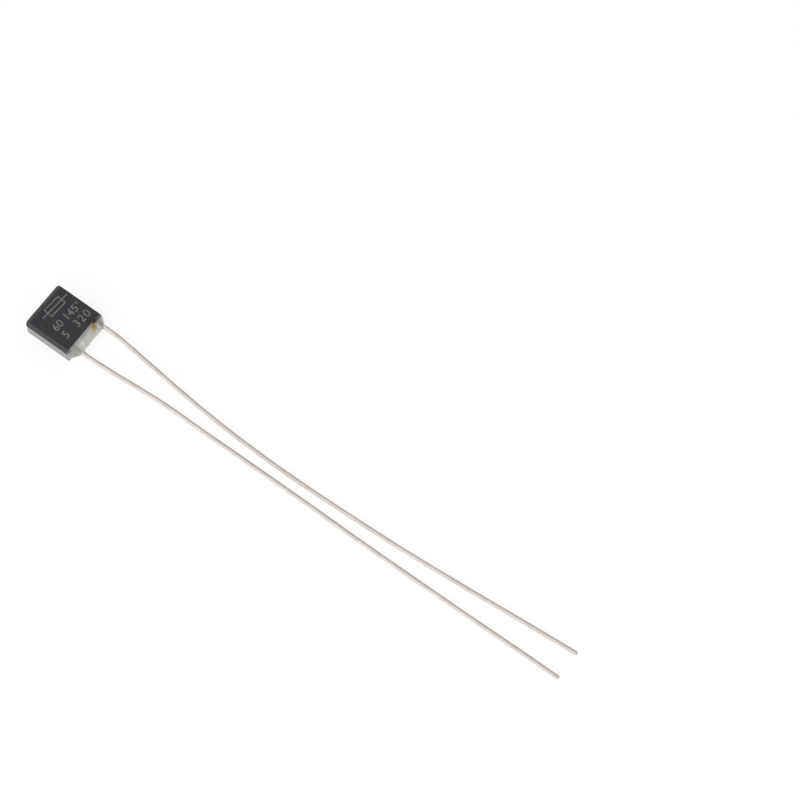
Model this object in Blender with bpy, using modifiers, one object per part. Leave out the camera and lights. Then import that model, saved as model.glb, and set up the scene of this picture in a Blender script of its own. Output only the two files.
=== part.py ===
"""A radial thermal fuse: a square moulded cup, sealed with epoxy, with two long tinned leads.

The fuse lies on its back face. The origin is the centre of that face, +Z points out of the marked
front face, the leads leave towards -Y and the closed end of the cup is at +Y. Sizes are written in
millimetres and turned into metres by MM.
"""

import math

import bmesh
import bpy
from mathutils import Vector

MM = 0.001

# The case, a cup moulded in two halves that part along its walls
CASE_WIDTH = 6.10
CASE_LENGTH = 6.14
CASE_THICKNESS = 2.50
PARTING_HEIGHT = 1.75
FRONT_DRAFT = 0.08
BACK_DRAFT = 0.02
SIDE_WALL = 0.40
FACE_WALL = 0.40
END_WALL = 0.50
CORNER_RADIUS = 0.36
MOUTH_CORNER_RADIUS = 0.10
FRONT_EDGE_RADIUS = 0.25
BACK_EDGE_RADIUS = 0.10
CAVITY_RADIUS = 0.18
CORNER_SEGMENTS = 5
MOUTH_CORNER_SEGMENTS = 2
EDGE_SEGMENTS = 3
ROUND_PROFILE = 0.5

# The two leads
WIRE_DIAMETER = 0.53
LEAD_PITCH = 4.00
LEAD_OFFSET = 0.34
LEAD_LENGTH = 66.8
STRAIGHT_LENGTH = 1.7
DROOP_LENGTH = 24.0
TIP_PINCH = 0.72
TIP_PINCH_LENGTH = 0.22
WIRE_STEPS = 46
WIRE_ROUNDNESS = 4

# How far each lead wanders sideways from its exit: (share of the lead's length, mm)
LEFT_DRIFT = (
    (0.045, 0.04),
    (0.085, 0.19),
    (0.130, 0.44),
    (0.170, 0.66),
    (0.210, 0.76),
    (0.265, 0.81),
    (0.345, 0.92),
    (0.470, 0.96),
    (0.600, 0.94),
    (0.700, 0.98),
    (0.820, 1.07),
    (0.920, 1.19),
    (1.000, 1.24),
)
RIGHT_DRIFT = (
    (0.045, -0.02),
    (0.085, -0.27),
    (0.140, -0.62),
    (0.200, -0.98),
    (0.265, -1.26),
    (0.345, -1.45),
    (0.440, -1.50),
    (0.550, -1.31),
    (0.660, -0.99),
    (0.780, -0.44),
    (0.890, 0.17),
    (1.000, 0.73),
)

# The epoxy: a plug in the mouth, and a skin over the rim that climbs the leads
SEAL_DEPTH = 1.90
SEAL_INSET = 0.03
SEAL_EDGE_RISE = 0.09
LEFT_FLANK_RISE = 0.94
RIGHT_FLANK_RISE = 0.60
SADDLE_RISE = 1.02
SADDLE_WIDTH = 1.60
CONE_BASE_WIDTH = 1.00
CONE_WAIST = 0.30
CONE_WAIST_SHARE = 0.40
LEFT_CONE_LENGTH = 1.20
RIGHT_CONE_LENGTH = 1.05
LIP_WALL = 0.04
SEAL_ROUNDING = 2
# A square of width 1 becomes a near circle of this diameter when it is subdivided
SUBDIVIDED_SQUARE = 0.93

# The link and its flux
LINK_POSITION = 0.70
LINK_RADIUS = 0.25
LINK_BEAD_RADIUS = 0.36
FLUX_AIR_GAP = 0.60
FLUX_RADIUS = 0.30
TURNED_STEPS = 20
BEAD_STEPS = 6

# Bonded pieces keep this much room to each other
BOND_GAP = 0.02
WELD_DISTANCE = 0.0005
ON_PLANE = 0.001

MOUTH_Y = -CASE_LENGTH / 2
CLOSED_Y = CASE_LENGTH / 2
LEAD_Z = CASE_THICKNESS / 2
WIRE_RADIUS = WIRE_DIAMETER / 2
LEFT_X = LEAD_OFFSET - LEAD_PITCH / 2
RIGHT_X = LEAD_OFFSET + LEAD_PITCH / 2
CAVITY_HALF_WIDTH = CASE_WIDTH / 2 - SIDE_WALL
CAVITY_BOTTOM = FACE_WALL
CAVITY_TOP = CASE_THICKNESS - FACE_WALL
CAVITY_END_Y = CLOSED_Y - END_WALL
SEAL_INNER_Y = MOUTH_Y + SEAL_DEPTH
RIM_Y = MOUTH_Y - BOND_GAP


def clear_scene():
    for item in list(bpy.data.objects):
        bpy.data.objects.remove(item, do_unlink=True)


def collection_named(name):
    group = bpy.data.collections.new(name)
    bpy.context.scene.collection.children.link(group)
    return group


def principled(name, color, roughness, metallic=0.0):
    material = bpy.data.materials.new(name)
    material.use_nodes = True
    shader = material.node_tree.nodes["Principled BSDF"]
    shader.inputs["Base Color"].default_value = (*color, 1.0)
    shader.inputs["Roughness"].default_value = roughness
    shader.inputs["Metallic"].default_value = metallic
    material.diffuse_color = (*color, 1.0)
    return material


def object_from(bm, name, group):
    """Turns bmesh work in millimetres into an object in metres."""
    bmesh.ops.scale(bm, vec=(MM, MM, MM), verts=bm.verts)
    bmesh.ops.recalc_face_normals(bm, faces=bm.faces)
    mesh = bpy.data.meshes.new(name)
    bm.to_mesh(mesh)
    bm.free()
    item = bpy.data.objects.new(name, mesh)
    group.objects.link(item)
    return item


def box_bmesh(low, high):
    """A box primitive between two corners."""
    low = Vector(low)
    high = Vector(high)
    bm = bmesh.new()
    bmesh.ops.create_cube(bm, size=1.0)
    bmesh.ops.scale(bm, vec=high - low, verts=bm.verts)
    bmesh.ops.translate(bm, vec=(low + high) / 2, verts=bm.verts)
    return bm


def round_edges(bm, edges, radius, segments):
    bmesh.ops.bevel(
        bm,
        geom=edges,
        offset=radius,
        offset_type="OFFSET",
        segments=segments,
        profile=ROUND_PROFILE,
        affect="EDGES",
        clamp_overlap=True,
    )


def edge_runs_along(edge, axis):
    """True where both ends of the edge differ mostly along the axis."""
    step = edge.verts[1].co - edge.verts[0].co
    return abs(step[axis]) > 0.9 * step.length


def rounded_box(low, high, radius, name, group):
    bm = box_bmesh(low, high)
    round_edges(bm, bm.edges[:], radius, EDGE_SEGMENTS)
    return object_from(bm, name, group)


def draft_at(height):
    """How far the case's walls lean in at a height, from nothing at the parting line."""
    if height > PARTING_HEIGHT:
        return FRONT_DRAFT * (height - PARTING_HEIGHT) / (CASE_THICKNESS - PARTING_HEIGHT)
    return BACK_DRAFT * (PARTING_HEIGHT - height) / PARTING_HEIGHT


def case_outline_bmesh():
    """The outside of the case: a box that narrows from its parting line to both faces."""
    half_width = CASE_WIDTH / 2
    bm = box_bmesh((-half_width, MOUTH_Y, 0), (half_width, CLOSED_Y, CASE_THICKNESS))
    upright = [edge for edge in bm.edges if edge_runs_along(edge, 2)]
    closed_end = [edge for edge in upright if edge.verts[0].co.y > 0]
    mouth = [edge for edge in upright if edge.verts[0].co.y < 0]
    round_edges(bm, closed_end, CORNER_RADIUS, CORNER_SEGMENTS)
    mouth = [edge for edge in mouth if edge.is_valid]
    round_edges(bm, mouth, MOUTH_CORNER_RADIUS, MOUTH_CORNER_SEGMENTS)
    geometry = bm.verts[:] + bm.edges[:] + bm.faces[:]
    bmesh.ops.bisect_plane(
        bm, geom=geometry, plane_co=(0, 0, PARTING_HEIGHT), plane_no=(0, 0, 1)
    )
    for vert in bm.verts:
        draft = draft_at(vert.co.z)
        vert.co.x *= 1 - draft / half_width
        vert.co.y = MOUTH_Y + (vert.co.y - MOUTH_Y) * (1 - draft / CASE_LENGTH)
    return bm


def perimeter_at(bm, height):
    """The edges round one broad face, apart from those on the mouth."""
    found = []
    for edge in bm.edges:
        level = all(abs(vert.co.z - height) < ON_PLANE for vert in edge.verts)
        on_mouth = all(vert.co.y < MOUTH_Y + ON_PLANE for vert in edge.verts)
        if level and not on_mouth:
            found.append(edge)
    return found


def keep_evaluated(item):
    """Makes what the modifiers give the object's own mesh."""
    bpy.context.view_layer.update()
    graph = bpy.context.evaluated_depsgraph_get()
    mesh = bpy.data.meshes.new_from_object(item.evaluated_get(graph))
    item.modifiers.clear()
    item.data = mesh


def close_outward(mesh):
    """Welds the seams of a single shell and turns its faces out."""
    bm = bmesh.new()
    bm.from_mesh(mesh)
    bmesh.ops.remove_doubles(bm, verts=bm.verts, dist=WELD_DISTANCE * MM)
    bmesh.ops.recalc_face_normals(bm, faces=bm.faces)
    bm.to_mesh(mesh)
    bm.free()


def apply_boolean(target, other, operation):
    """Joins or cuts with the exact solver. The other object stays as a hidden helper."""
    modifier = target.modifiers.new(operation.lower(), "BOOLEAN")
    modifier.operation = operation
    modifier.solver = "EXACT"
    modifier.object = other
    keep_evaluated(target)
    other.hide_render = True
    other.display_type = "WIRE"


def finish(item, material, angle=35):
    """One material, and shading that is smooth except over sharp edges."""
    mesh = item.data
    mesh.materials.clear()
    mesh.materials.append(material)
    for polygon in mesh.polygons:
        polygon.material_index = 0
    mesh.shade_smooth()
    mesh.set_sharp_from_angle(angle=math.radians(angle))


def build_case(parts, cutters):
    bm = case_outline_bmesh()
    round_edges(bm, perimeter_at(bm, CASE_THICKNESS), FRONT_EDGE_RADIUS, EDGE_SEGMENTS)
    round_edges(bm, perimeter_at(bm, 0.0), BACK_EDGE_RADIUS, EDGE_SEGMENTS)
    case = object_from(bm, "case", parts)
    past_mouth = CASE_WIDTH
    cavity = rounded_box(
        (-CAVITY_HALF_WIDTH, MOUTH_Y - past_mouth, CAVITY_BOTTOM),
        (CAVITY_HALF_WIDTH, CAVITY_END_Y, CAVITY_TOP),
        CAVITY_RADIUS,
        "case_cavity_cutter",
        cutters,
    )
    apply_boolean(case, cavity, "DIFFERENCE")
    return case


def smooth_step(share):
    share = min(max(share, 0.0), 1.0)
    return share * share * (3 - 2 * share)


def curve_through(knots, at):
    """The height of a smooth curve through (place, value) knots, with no overshoot at the ends."""
    places = [knot[0] for knot in knots]
    values = [knot[1] for knot in knots]
    last = len(knots) - 1
    slopes = []
    for i in range(last + 1):
        low = max(i - 1, 0)
        high = min(i + 1, last)
        slopes.append((values[high] - values[low]) / (places[high] - places[low]))
    slopes[0] = 0.0
    at = min(max(at, places[0]), places[-1])
    i = 0
    while i < last - 1 and at > places[i + 1]:
        i += 1
    span = places[i + 1] - places[i]
    t = (at - places[i]) / span
    start = (1 + 2 * t) * (1 - t) ** 2 * values[i] + t * (1 - t) ** 2 * span * slopes[i]
    end = t * t * (3 - 2 * t) * values[i + 1] + t * t * (t - 1) * span * slopes[i + 1]
    return start + end


def lead_route(exit_x, drift, inner_y):
    """Points of a lead's centre line with the wire's relative radius there, from inside out."""
    knots = ((STRAIGHT_LENGTH / LEAD_LENGTH, 0.0), *drift)
    route = [((exit_x, inner_y, LEAD_Z), 1.0)]
    out = STRAIGHT_LENGTH
    stations = []
    pitch = (LEAD_LENGTH - TIP_PINCH_LENGTH - STRAIGHT_LENGTH) / WIRE_STEPS
    for step in range(WIRE_STEPS + 1):
        stations.append((out + step * pitch, 1.0))
    stations.append((LEAD_LENGTH, TIP_PINCH))
    for out, radius in stations:
        x = exit_x + curve_through(knots, out / LEAD_LENGTH)
        fall = smooth_step((out - STRAIGHT_LENGTH) / DROOP_LENGTH)
        z = LEAD_Z + (WIRE_RADIUS - LEAD_Z) * fall
        route.append(((x, MOUTH_Y - out, z), radius))
    return route


def wire_object(name, route, radius, group):
    """A round wire along a route of (place, relative radius), as a closed mesh."""
    curve = bpy.data.curves.new(name, "CURVE")
    curve.dimensions = "3D"
    curve.bevel_depth = radius * MM
    curve.bevel_resolution = WIRE_ROUNDNESS
    curve.use_fill_caps = True
    spline = curve.splines.new("POLY")
    spline.points.add(len(route) - 1)
    for point, (place, relative) in zip(spline.points, route):
        point.co = (*(Vector(place) * MM), 1.0)
        point.radius = relative
    drawn = bpy.data.objects.new(name + "_curve", curve)
    bpy.context.scene.collection.objects.link(drawn)
    bpy.context.view_layer.update()
    graph = bpy.context.evaluated_depsgraph_get()
    mesh = bpy.data.meshes.new_from_object(drawn.evaluated_get(graph))
    close_outward(mesh)
    wire = bpy.data.objects.new(name, mesh)
    wire.matrix_world = drawn.matrix_world
    bpy.data.objects.remove(drawn, do_unlink=True)
    group.objects.link(wire)
    return wire


def build_leads(parts):
    left = lead_route(LEFT_X, LEFT_DRIFT, LINK_POSITION)
    right = lead_route(RIGHT_X, RIGHT_DRIFT, LINK_POSITION)
    return (
        wire_object("left_lead", left, WIRE_RADIUS, parts),
        wire_object("right_lead", right, WIRE_RADIUS, parts),
    )


def lead_cutter(name, exit_x, inner_y, cutters):
    """A straight bore for a lead, with room round it, through the seal's whole height."""
    outer_y = MOUTH_Y - STRAIGHT_LENGTH
    route = [((exit_x, inner_y, LEAD_Z), 1.0), ((exit_x, outer_y, LEAD_Z), 1.0)]
    return wire_object(name, route, WIRE_RADIUS + BOND_GAP, cutters)


def bore_for_leads(item, inner_y, cutters):
    for side, exit_x in (("left", LEFT_X), ("right", RIGHT_X)):
        cutter = lead_cutter(f"{item.name}_{side}_bore_cutter", exit_x, inner_y, cutters)
        apply_boolean(item, cutter, "DIFFERENCE")


def seal_skin_cage():
    """The coarse cage of the resin over the rim, with one column of faces for each lead.

    The grid's outline is the case's own section at the mouth. Its inner points are raised: low
    outside the leads, high between them, so that the skin sweeps up to each wire.
    """
    reach = CONE_BASE_WIDTH / 2
    edge = CASE_WIDTH / 2
    shoulder = (RIGHT_X - LEFT_X) / 2 - SADDLE_WIDTH / 2
    columns = (
        (-edge, 0.0),
        (LEFT_X - reach, LEFT_FLANK_RISE),
        (LEFT_X + reach, SADDLE_RISE),
        (LEFT_X + shoulder, SADDLE_RISE),
        (RIGHT_X - shoulder, SADDLE_RISE),
        (RIGHT_X - reach, SADDLE_RISE),
        (RIGHT_X + reach, RIGHT_FLANK_RISE),
        (edge, 0.0),
    )
    rows = (SEAL_INSET, LEAD_Z - reach, LEAD_Z + reach, CASE_THICKNESS - SEAL_INSET)
    bm = bmesh.new()
    bmesh.ops.create_grid(bm, x_segments=len(columns) - 1, y_segments=len(rows) - 1, size=1.0)
    for vert in bm.verts:
        column = round((vert.co.x + 1) / 2 * (len(columns) - 1))
        row = round((vert.co.y + 1) / 2 * (len(rows) - 1))
        x, rise = columns[column]
        z = rows[row]
        if abs(x) == edge:
            x -= math.copysign(draft_at(z) + SEAL_INSET, x)
        if row in (0, len(rows) - 1):
            rise = 0.0
        vert.co = (x, RIM_Y - SEAL_EDGE_RISE - rise, z)
    return bm


def grow_cone(bm, lead_x, length, crease):
    """Draws the face over a lead out along the wire in two steps, down to the wire's own width."""
    centre = Vector((lead_x, 0, LEAD_Z))
    face = min(bm.faces, key=lambda item: (item.calc_center_median().xz - centre.xz).length)
    tip_width = 2 * (WIRE_RADIUS + BOND_GAP + LIP_WALL) / SUBDIVIDED_SQUARE
    waist_width = tip_width + CONE_WAIST * (CONE_BASE_WIDTH - tip_width)
    for share, width in ((CONE_WAIST_SHARE, waist_width), (1.0, tip_width)):
        face = bmesh.ops.extrude_discrete_faces(bm, faces=[face])["faces"][0]
        base = RIM_Y - SADDLE_RISE
        place = base + (MOUTH_Y - length - base) * share
        for vert in face.verts:
            vert.co.x = lead_x + math.copysign(width / 2, vert.co.x - lead_x)
            vert.co.y = place
            vert.co.z = LEAD_Z + math.copysign(width / 2, vert.co.z - LEAD_Z)
    for edge in face.edges:
        edge[crease] = 1.0


def build_seal_skin(parts):
    """The cage, closed behind at the rim and rounded by subdivision. Its outline stays sharp."""
    bm = seal_skin_cage()
    crease = bm.edges.layers.float.new("crease_edge")
    grow_cone(bm, LEFT_X, LEFT_CONE_LENGTH, crease)
    grow_cone(bm, RIGHT_X, RIGHT_CONE_LENGTH, crease)
    outline = [edge for edge in bm.edges if edge.is_boundary]
    wall = bmesh.ops.extrude_edge_only(bm, edges=outline)["geom"]
    for vert in [item for item in wall if isinstance(item, bmesh.types.BMVert)]:
        vert.co.y = RIM_Y
    back = [edge for edge in bm.edges if edge.is_boundary]
    bmesh.ops.contextual_create(bm, geom=back)
    for edge in outline:
        edge[crease] = 1.0
    on_rim = {vert for edge in back for vert in edge.verts}
    for vert in on_rim:
        for edge in vert.link_edges:
            edge[crease] = 1.0
    seal = object_from(bm, "epoxy_seal", parts)
    rounding = seal.modifiers.new("rounding", "SUBSURF")
    rounding.levels = SEAL_ROUNDING
    rounding.render_levels = SEAL_ROUNDING
    keep_evaluated(seal)
    return seal


def build_seal(parts, cutters):
    seal = build_seal_skin(parts)
    plug = rounded_box(
        (-CAVITY_HALF_WIDTH + BOND_GAP, RIM_Y - SEAL_EDGE_RISE / 2, CAVITY_BOTTOM + BOND_GAP),
        (CAVITY_HALF_WIDTH - BOND_GAP, SEAL_INNER_Y, CAVITY_TOP - BOND_GAP),
        CAVITY_RADIUS,
        "seal_plug",
        cutters,
    )
    apply_boolean(seal, plug, "UNION")
    bore_for_leads(seal, CAVITY_END_Y, cutters)
    return seal


def turned(profile, axis, name, group):
    """A solid turned round the X or Y axis with a Screw modifier, from (place, radius) points."""
    bm = bmesh.new()
    if axis == "X":
        verts = [bm.verts.new((place, 0.0, radius)) for place, radius in profile]
    else:
        verts = [bm.verts.new((radius, place, 0.0)) for place, radius in profile]
    for first, second in zip(verts, verts[1:]):
        bm.edges.new((first, second))
    item = object_from(bm, name, group)
    screw = item.modifiers.new("turn", "SCREW")
    screw.axis = axis
    screw.steps = TURNED_STEPS
    screw.render_steps = TURNED_STEPS
    screw.use_merge_vertices = True
    screw.merge_threshold = WELD_DISTANCE * MM
    keep_evaluated(item)
    close_outward(item.data)
    return item


def link_object(name, margin, group):
    """The alloy link: a bar between two beads, one round each lead's inner end."""
    bar = LINK_RADIUS + margin
    bead = LINK_BEAD_RADIUS + margin
    meet = math.asin(bar / bead)
    left_half = []
    for step in range(BEAD_STEPS + 1):
        angle = math.pi + (meet - math.pi) * step / BEAD_STEPS
        left_half.append((LEFT_X + bead * math.cos(angle), bead * math.sin(angle)))
    left_half[0] = (LEFT_X - bead, 0.0)
    right_half = [(LEFT_X + RIGHT_X - x, radius) for x, radius in reversed(left_half)]
    link = turned(left_half + right_half, "X", name, group)
    link.location = Vector((0, LINK_POSITION, LEAD_Z)) * MM
    return link


def build_link(parts, cutters):
    link = link_object("fusible_alloy", 0.0, parts)
    bore_for_leads(link, LINK_POSITION + BOND_GAP, cutters)
    return link


def build_flux(parts, cutters):
    flux = rounded_box(
        (-CAVITY_HALF_WIDTH + BOND_GAP, SEAL_INNER_Y + BOND_GAP, CAVITY_BOTTOM + BOND_GAP),
        (CAVITY_HALF_WIDTH - BOND_GAP, CAVITY_END_Y - FLUX_AIR_GAP, CAVITY_TOP - BOND_GAP),
        FLUX_RADIUS,
        "flux",
        parts,
    )
    hollow = link_object("flux_link_cutter", BOND_GAP, cutters)
    apply_boolean(flux, hollow, "DIFFERENCE")
    bore_for_leads(flux, LINK_POSITION, cutters)
    return flux


def main():
    clear_scene()
    parts = collection_named("thermal_fuse")
    cutters = collection_named("cutters")

    case = build_case(parts, cutters)
    finish(case, principled("black_plastic", (0.040, 0.039, 0.044), 0.42))

    tinned_copper = principled("tinned_copper", (0.78, 0.76, 0.73), 0.28, 1.0)
    for lead in build_leads(parts):
        finish(lead, tinned_copper)

    seal = build_seal(parts, cutters)
    finish(seal, principled("pale_epoxy", (0.62, 0.62, 0.57), 0.25), angle=50)

    link = build_link(parts, cutters)
    finish(link, principled("fusible_alloy", (0.62, 0.62, 0.64), 0.35, 1.0))

    flux = build_flux(parts, cutters)
    finish(flux, principled("amber_flux", (0.55, 0.33, 0.08), 0.20))


main()
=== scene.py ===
# %% [markdown]
# # A radial thermal fuse on a white table
#
# A thermal fuse breaks a circuit once, when it gets too hot. This one is a black moulded cup, six
# millimetres square. Pale resin plugs its mouth, and two long tinned wires come out of the resin.
# The solids of the fuse are already made at their real size. This lesson gives them their looks:
# smooth edges, a resin skin that climbs the wires, round wires, a light marking and real finishes.

import math

import bmesh
import bpy
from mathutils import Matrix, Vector


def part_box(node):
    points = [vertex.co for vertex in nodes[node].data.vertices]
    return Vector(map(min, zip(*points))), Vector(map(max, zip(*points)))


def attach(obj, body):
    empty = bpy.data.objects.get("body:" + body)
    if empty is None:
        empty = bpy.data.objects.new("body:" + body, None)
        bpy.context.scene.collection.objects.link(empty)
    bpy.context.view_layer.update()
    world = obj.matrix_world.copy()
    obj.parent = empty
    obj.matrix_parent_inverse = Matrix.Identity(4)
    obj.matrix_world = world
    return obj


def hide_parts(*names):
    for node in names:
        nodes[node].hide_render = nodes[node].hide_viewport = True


MM = 0.001
SAME_PLACE = 0.0005 * MM
UP = Vector((0, 0, 1))

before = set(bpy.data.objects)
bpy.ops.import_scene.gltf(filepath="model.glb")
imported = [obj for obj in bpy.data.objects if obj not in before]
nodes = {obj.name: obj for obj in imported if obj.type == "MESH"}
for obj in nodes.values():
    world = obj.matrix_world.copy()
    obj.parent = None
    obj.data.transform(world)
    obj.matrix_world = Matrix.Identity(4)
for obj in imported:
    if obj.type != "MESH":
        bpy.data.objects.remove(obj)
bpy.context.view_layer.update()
print("solids:", ", ".join(sorted(nodes)))

# %% [markdown]
# ## The camera
#
# The fuse was photographed from high up with a long lens, so its edges look almost parallel. The
# case is square, and that fixes both angles: the camera looks down steeply, from the side where
# the leads and the left wall show. The lens follows from the distance and from how many pixels a
# millimetre of the table takes up.

# %% Place the camera
CAMERA_ELEVATION = 67.26
CAMERA_AZIMUTH = -53.13
CAMERA_DISTANCE = 450 * MM
AIM_POINT = Vector((15.68, -36.04, 0)) * MM
PIXELS_PER_MM = 8.855
PICTURE_PIXELS = 800
SENSOR_WIDTH = 36.0
NEAREST_SEEN = 10 * MM
FURTHEST_SEEN = 20


def direction(azimuth, elevation):
    """The unit vector to a place in the sky, with azimuth 0 where the leads point, 90 right."""
    turn = math.radians(azimuth)
    rise = math.radians(elevation)
    flat = Vector((math.sin(turn), -math.cos(turn), 0)) * math.cos(rise)
    return flat + UP * math.sin(rise)


to_camera = direction(CAMERA_AZIMUTH, CAMERA_ELEVATION)
lens = bpy.data.cameras.new("long_lens")
lens.sensor_width = SENSOR_WIDTH
lens.lens = PIXELS_PER_MM / MM * CAMERA_DISTANCE / PICTURE_PIXELS * SENSOR_WIDTH
lens.clip_start = NEAREST_SEEN
lens.clip_end = FURTHEST_SEEN
camera = bpy.data.objects.new("camera", lens)
bpy.context.scene.collection.objects.link(camera)
camera.location = AIM_POINT + to_camera * CAMERA_DISTANCE
camera.rotation_euler = (-to_camera).to_track_quat("-Z", "Y").to_euler()
bpy.context.scene.camera = camera
print("lens in mm:", round(lens.lens, 1))

# %% [markdown]
# ## Tools for modelling
#
# An operator acts on whatever is selected, so every step starts by clearing the selection. Parts
# of a mesh are then chosen in code, by where they are or which way they point, which keeps
# working when a size changes.

# %% Select, edit and finish
ALONG_SHARE = 0.9


def deselect_all():
    if bpy.context.mode != "OBJECT":
        bpy.ops.object.mode_set(mode="OBJECT")
    bpy.ops.object.select_all(action="DESELECT")


def make_active(item):
    deselect_all()
    item.select_set(True)
    bpy.context.view_layer.objects.active = item


def choose(item, kind, wanted):
    """Goes into edit mode and selects the vertices, edges or faces for which wanted() is true."""
    if bpy.context.mode != "EDIT_MESH" or bpy.context.object != item:
        make_active(item)
        bpy.ops.object.mode_set(mode="EDIT")
    bpy.ops.mesh.select_mode(type=kind)
    bpy.ops.mesh.select_all(action="DESELECT")
    shape = bmesh.from_edit_mesh(item.data)
    parts = {"VERT": shape.verts, "EDGE": shape.edges, "FACE": shape.faces}[kind]
    chosen = [part for part in parts if wanted(part)]
    for part in chosen:
        part.select_set(True)
    bmesh.update_edit_mesh(item.data)
    return len(chosen)


def leave_edit_mode():
    bpy.ops.object.mode_set(mode="OBJECT")


def apply_modifier(item, modifier):
    make_active(item)
    bpy.ops.object.modifier_apply(modifier=modifier.name)


def add_box(name, low, high):
    """A cube primitive from corner to corner, with its place in its mesh."""
    deselect_all()
    bpy.ops.mesh.primitive_cube_add(size=1.0, location=(low + high) / 2)
    item = bpy.context.object
    item.name = name
    item.scale = high - low
    bpy.ops.object.transform_apply(location=True, rotation=False, scale=True)
    return item


def runs_along(edge, axis):
    step = edge.verts[1].co - edge.verts[0].co
    return abs(step[axis]) > ALONG_SHARE * step.length


def shade_smooth(item, smooth_angle):
    make_active(item)
    bpy.ops.object.shade_smooth_by_angle(angle=math.radians(smooth_angle))


def keep_flats_flat(item, smooth_angle):
    """Smooth shading over the rounded edges, with the flat faces shaded as flat."""
    shade_smooth(item, smooth_angle)
    weighted = item.modifiers.new("flats stay flat", "WEIGHTED_NORMAL")
    weighted.keep_sharp = True
    apply_modifier(item, weighted)


def count(item):
    item.data.calc_loop_triangles()
    return f"{item.name}: {len(item.data.loop_triangles)} triangles"


def cover_with(item, *materials):
    """Gives a piece these materials and no others."""
    item.data.materials.clear()
    for material in materials:
        item.data.materials.append(material)


# %% [markdown]
# ## Tools for finishes
#
# Every finish is a tree of nodes on Object coordinates, read in millimetres, so that a grain of
# 0.05 means 0.05 mm on the real thing. Noise drives small changes of colour, gloss and height. A
# value that is the same all over is set on the shader itself.

# %% Build materials from nodes
def new_material(name, color, roughness, metallic=0.0):
    material = bpy.data.materials.new(name)
    material.use_nodes = True
    material.diffuse_color = (*color, 1.0)
    shader = material.node_tree.nodes["Principled BSDF"]
    shader.inputs["Base Color"].default_value = (*color, 1.0)
    shader.inputs["Roughness"].default_value = roughness
    shader.inputs["Metallic"].default_value = metallic
    return material, material.node_tree, shader


def add_node(tree, kind, values=None, **settings):
    node = tree.nodes.new(kind)
    for name, value in settings.items():
        setattr(node, name, value)
    for name, value in (values or {}).items():
        node.inputs[name].default_value = value
    return node


def in_millimetres(tree, stretch=(1, 1, 1), centre=(0, 0, 0)):
    """Object coordinates in millimetres from a centre, squeezed along each axis by stretch."""
    place = add_node(tree, "ShaderNodeTexCoord")
    squeeze = Vector((1 / stretch[0], 1 / stretch[1], 1 / stretch[2]))
    values = {
        "Scale": squeeze / MM,
        "Location": [-middle * part for middle, part in zip(centre, squeeze)],
    }
    mapping = add_node(tree, "ShaderNodeMapping", values)
    tree.links.new(place.outputs["Object"], mapping.inputs["Vector"])
    return mapping.outputs["Vector"]


def noise(tree, vector, size, detail=2.0):
    """A noise between 0 and 1 whose patches are about size millimetres wide."""
    node = add_node(tree, "ShaderNodeTexNoise", {"Scale": 1 / size, "Detail": detail})
    tree.links.new(vector, node.inputs["Vector"])
    return node.outputs["Fac"]


def remap(tree, value, low, high, start=0.3, end=0.7, smooth=False):
    """Turns the stretch from start to end of a value into low to high."""
    values = {"From Min": start, "From Max": end, "To Min": low, "To Max": high}
    kind = "SMOOTHSTEP" if smooth else "LINEAR"
    node = add_node(tree, "ShaderNodeMapRange", values, interpolation_type=kind)
    tree.links.new(value, node.inputs["Value"])
    return node.outputs["Result"]


def calculate(tree, operation, first, second):
    node = add_node(tree, "ShaderNodeMath", operation=operation)
    for socket, value in zip(node.inputs, (first, second)):
        if isinstance(value, (int, float)):
            socket.default_value = value
        else:
            tree.links.new(value, socket)
    return node.outputs["Value"]


def mix_colors(tree, share, first, second):
    node = add_node(tree, "ShaderNodeMix", data_type="RGBA")
    share_socket, first_socket, second_socket = node.inputs[0], node.inputs[6], node.inputs[7]
    tree.links.new(share, share_socket)
    for socket, color in ((first_socket, first), (second_socket, second)):
        if isinstance(color, bpy.types.NodeSocket):
            tree.links.new(color, socket)
        else:
            socket.default_value = (*color, 1.0)
    return node.outputs[2]


def raise_surface(tree, shader, layers):
    """Bump from (height, depth in mm) layers, the coarsest first."""
    normal = None
    for height, depth in layers:
        bump = add_node(tree, "ShaderNodeBump", {"Distance": depth * MM})
        tree.links.new(height, bump.inputs["Height"])
        if normal is not None:
            tree.links.new(normal, bump.inputs["Normal"])
        normal = bump.outputs["Normal"]
    tree.links.new(normal, shader.inputs["Normal"])


# %% [markdown]
# ## The moulded case
#
# The case is a cup of black plastic from a two-part mould. The parting line runs round its walls
# well above half height, and the walls lean in from there to both faces so that the moulding
# leaves its mould. The two corners at the closed end are well rounded, and the two at the mouth
# are sharp, because the resin covers them. A box with bevels and a bisect makes all of that. A
# boolean would work for the lean too, but scaling one ring of vertices is simpler and keeps
# four-sided faces.

# %% Name the sizes of the case
CORNER_RADIUS = 0.36 * MM
PARTING_HEIGHT = 1.75 * MM
FRONT_LEAN = 0.08 * MM
BACK_LEAN = 0.02 * MM
FLASH_HALF_WIDTH = 0.03 * MM
FLASH_HEIGHT = 0.012 * MM
FRONT_EDGE_RADIUS = 0.25 * MM
BACK_EDGE_RADIUS = 0.10 * MM
WALL = 0.40 * MM
END_WALL = 0.50 * MM
CAVITY_RADIUS = 0.18 * MM
CORNER_SEGMENTS = 10
EDGE_SEGMENTS = 5
CAVITY_SEGMENTS = 4
CASE_SMOOTH_ANGLE = 30
ON_PLANE = 0.002 * MM

case_low, case_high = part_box("case")
mouth_y = case_low.y
thickness = case_high.z
half_width = case_high.x
case_length = case_high.y - case_low.y
print("case in mm:", [round(side / MM, 2) for side in case_high - case_low])

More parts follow.
